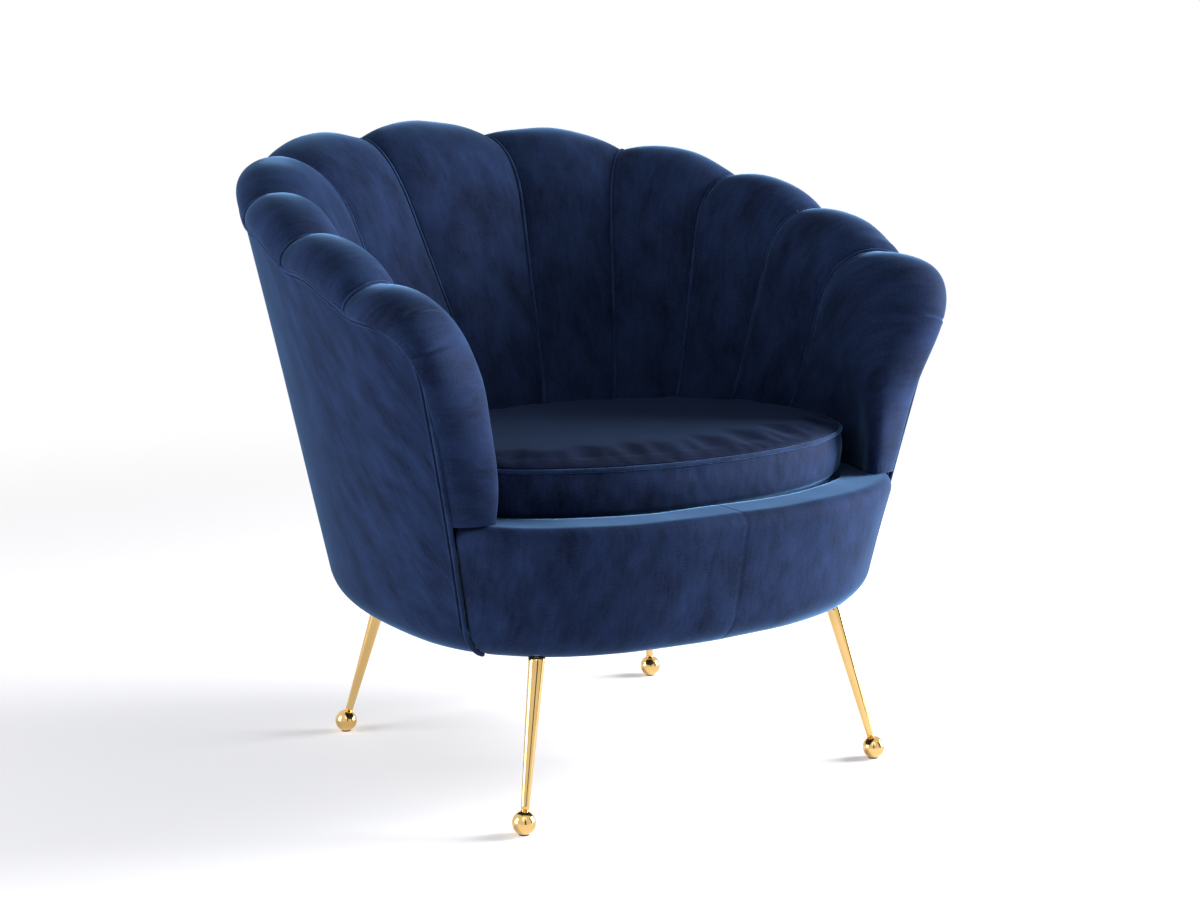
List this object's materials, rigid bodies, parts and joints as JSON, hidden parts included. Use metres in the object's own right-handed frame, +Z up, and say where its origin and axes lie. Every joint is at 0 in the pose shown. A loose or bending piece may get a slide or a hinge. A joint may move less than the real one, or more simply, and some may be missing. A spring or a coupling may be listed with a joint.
{
  "type": "armchair",
  "caption": "Tub armchair with a scalloped, channelled back that wraps into the arms, a loose rounded seat cushion and splayed legs on ball feet.",
  "frame": {"origin": "middle of the bounding box, at floor level", "axes": "+Z up; the open front of the chair faces -Y; the chair is mirrored about the YZ plane"},
  "size_m": [0.88, 0.8448, 0.8142],
  "materials": {
    "velvet": "navy velvet, brushed nap",
    "piping": "navy velvet cut on the bias over cord",
    "brass": "polished, gold tone",
    "steel": "zinc plated",
    "timber": "bare plywood and beech",
    "cloth": "black non-woven lining",
    "nylon": "moulded nylon"
  },
  "bodies": {
    "chair": {"channel_01": "velvet", "channel_02": "velvet", "channel_03": "velvet", "channel_04": "velvet", "channel_05": "velvet", "channel_06": "velvet", "channel_07": "velvet", "channel_08": "velvet", "channel_09": "velvet", "channel_10": "velvet", "channel_11": "velvet", "channel_welt_01": "piping", "channel_welt_02": "piping", "channel_welt_03": "piping", "channel_welt_04": "piping", "channel_welt_05": "piping", "channel_welt_06": "piping", "channel_welt_07": "piping", "channel_welt_08": "piping", "channel_welt_09": "piping", "channel_welt_10": "piping", "rim_welt": "piping", "outer_cover": "velvet", "front_rail_cover": "velvet", "base_board": "timber", "base_wall": "timber", "dust_cover": "cloth", "seat_ring": "timber", "zigzag_spring_1": "steel", "zigzag_spring_2": "steel", "zigzag_spring_3": "steel", "zigzag_spring_4": "steel", "seat_deck": "cloth", "inner_shell": "timber", "top_rail": "timber", "arm_post_left": "timber", "arm_post_right": "timber", "back_rib": "timber", "leg_front_left": "brass", "ball_foot_front_left": "brass", "floor_glide_front_left": "nylon", "leg_plate_front_left": "steel", "leg_stud_front_left": "steel", "leg_front_right": "brass", "ball_foot_front_right": "brass", "floor_glide_front_right": "nylon", "leg_plate_front_right": "steel", "leg_stud_front_right": "steel", "leg_back_left": "brass", "ball_foot_back_left": "brass", "floor_glide_back_left": "nylon", "leg_plate_back_left": "steel", "leg_stud_back_left": "steel", "leg_back_right": "brass", "ball_foot_back_right": "brass", "floor_glide_back_right": "nylon", "leg_plate_back_right": "steel", "leg_stud_back_right": "steel"},
    "cushion": {"seat_cushion": "velvet", "cushion_welt": "piping"}
  },
  "joints": [
    {"name": "cushion_lift", "type": "slide", "parent": "chair", "child": "cushion", "axis": [0, 0, 1], "range_m": [0, 0.3]}
  ]
}
